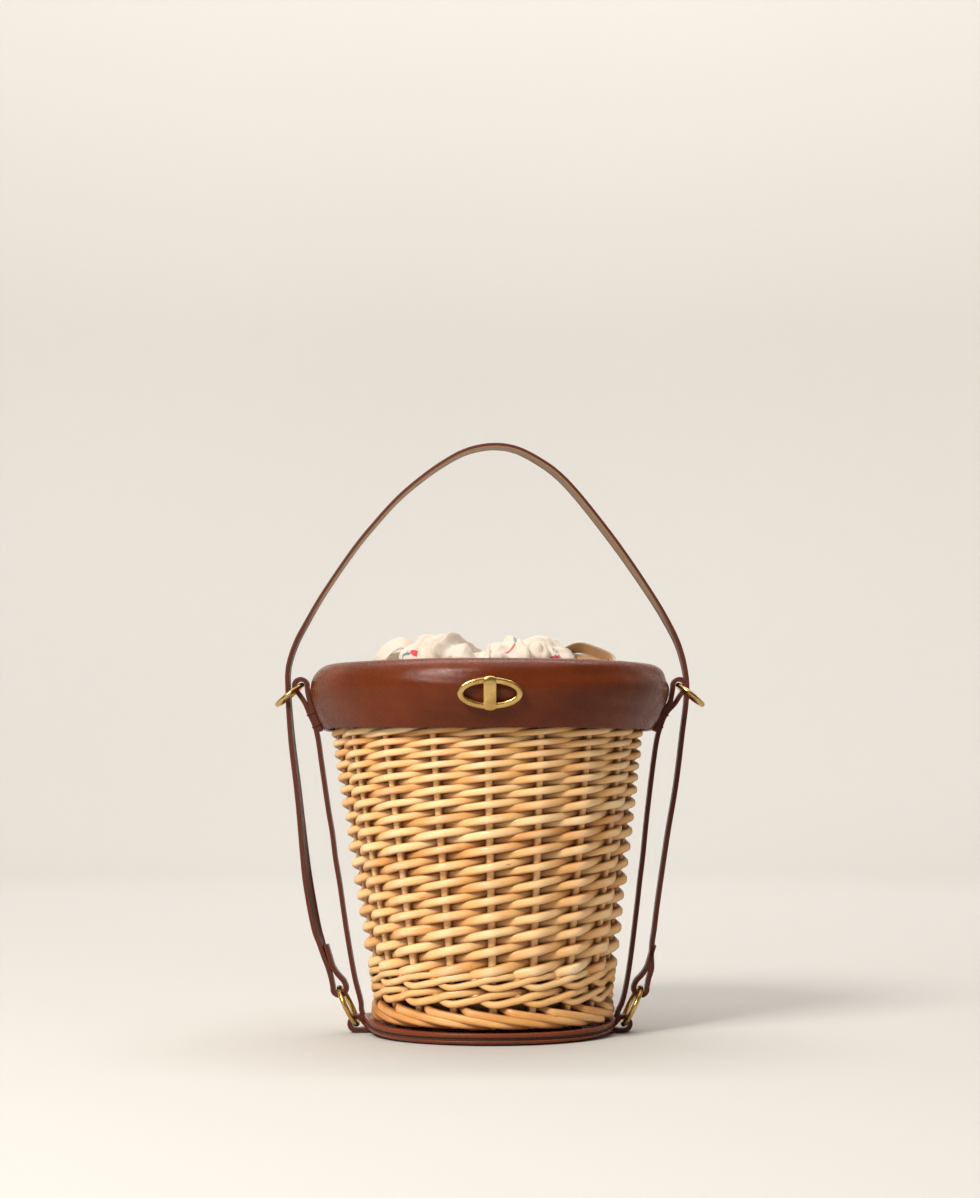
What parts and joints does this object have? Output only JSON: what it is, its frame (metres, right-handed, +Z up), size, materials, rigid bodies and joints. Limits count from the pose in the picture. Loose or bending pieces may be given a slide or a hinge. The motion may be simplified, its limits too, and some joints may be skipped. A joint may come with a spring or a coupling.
{
  "type": "bucket bag",
  "caption": "Tapered wicker bucket bag with a padded leather collar, a drawstring cotton pouch and a leather ring-and-strap harness with one swinging top handle.",
  "frame": {"origin": "on the floor, under the middle of the leather base plate", "axes": "+Z up, front of the bag (the brass ornament) towards -Y, the two straps and their rings along X"},
  "size_m": [0.2448, 0.2089, 0.3369],
  "materials": {
    "brown_leather": "smooth reddish brown leather with raw dark edges",
    "collar_leather": "soft semi-gloss brown leather",
    "willow": "peeled honey willow rods",
    "board": "fibre board",
    "wadding": "felted wadding",
    "brass": "aged polished brass",
    "printed_cotton": "cream cotton with a small flower print",
    "plain_cotton": "cream cotton ribbon, tan inside"
  },
  "bodies": {
    "root": {"base_leather_bottom": "brown_leather", "base_board": "board", "base_leather_top": "brown_leather", "base_rivets": "brass", "base_tab_left": "brown_leather", "base_tab_right": "brown_leather", "base_weave": "willow", "foot_border": "willow", "waling_lower": "willow", "waling_upper": "willow", "rand_weave": "willow", "stakes": "willow", "rim_border": "willow", "collar_padding": "wadding", "collar_leather": "collar_leather", "collar_facing": "brown_leather", "side_strap_left": "brown_leather", "side_strap_right": "brown_leather", "handle_lower_left": "brown_leather", "handle_lower_right": "brown_leather", "ornament_link": "brass", "ornament_sleeve": "brass", "ornament_posts": "brass", "ornament_backing": "brass", "pouch_cup": "printed_cotton", "pouch_neck": "printed_cotton", "drawstring_casing": "printed_cotton", "pouch_frill": "printed_cotton"},
    "handle": {"handle_arc": "brown_leather"},
    "top_ring_left": {"top_ring_left": "brass"},
    "top_ring_right": {"top_ring_right": "brass"},
    "bottom_ring_left": {"bottom_ring_left": "brass"},
    "bottom_ring_right": {"bottom_ring_right": "brass"},
    "drawstring_left": {"drawstring_left": "plain_cotton"},
    "drawstring_right": {"drawstring_right": "plain_cotton"}
  },
  "joints": [
    {"name": "handle_swing", "type": "hinge", "parent": "root", "child": "handle", "pos_m": [0, 0, 0.2045], "axis": [1, 0, 0], "range_deg": [-90, 90]},
    {"name": "top_ring_left_swing", "type": "hinge", "parent": "root", "child": "top_ring_left", "pos_m": [-0.10712, 0, 0.19778], "axis": [0, -1, 0], "range_deg": [-20, 12]},
    {"name": "top_ring_right_swing", "type": "hinge", "parent": "root", "child": "top_ring_right", "pos_m": [0.10712, 0, 0.19778], "axis": [0, 1, 0], "range_deg": [-20, 12]},
    {"name": "bottom_ring_left_turn", "type": "hinge", "parent": "root", "child": "bottom_ring_left", "pos_m": [-0.08074, 0, 0.01512], "axis": [-0.8988, 0, -0.4384], "continuous": true},
    {"name": "bottom_ring_right_turn", "type": "hinge", "parent": "root", "child": "bottom_ring_right", "pos_m": [0.08074, 0, 0.01512], "axis": [0.8988, 0, -0.4384], "continuous": true},
    {"name": "drawstring_left_pull", "type": "slide", "parent": "root", "child": "drawstring_left", "axis": [-1, 0, 0], "range_m": [0, 0.01]},
    {"name": "drawstring_right_pull", "type": "slide", "parent": "root", "child": "drawstring_right", "axis": [1, 0, 0], "range_m": [0, 0.01]}
  ]
}
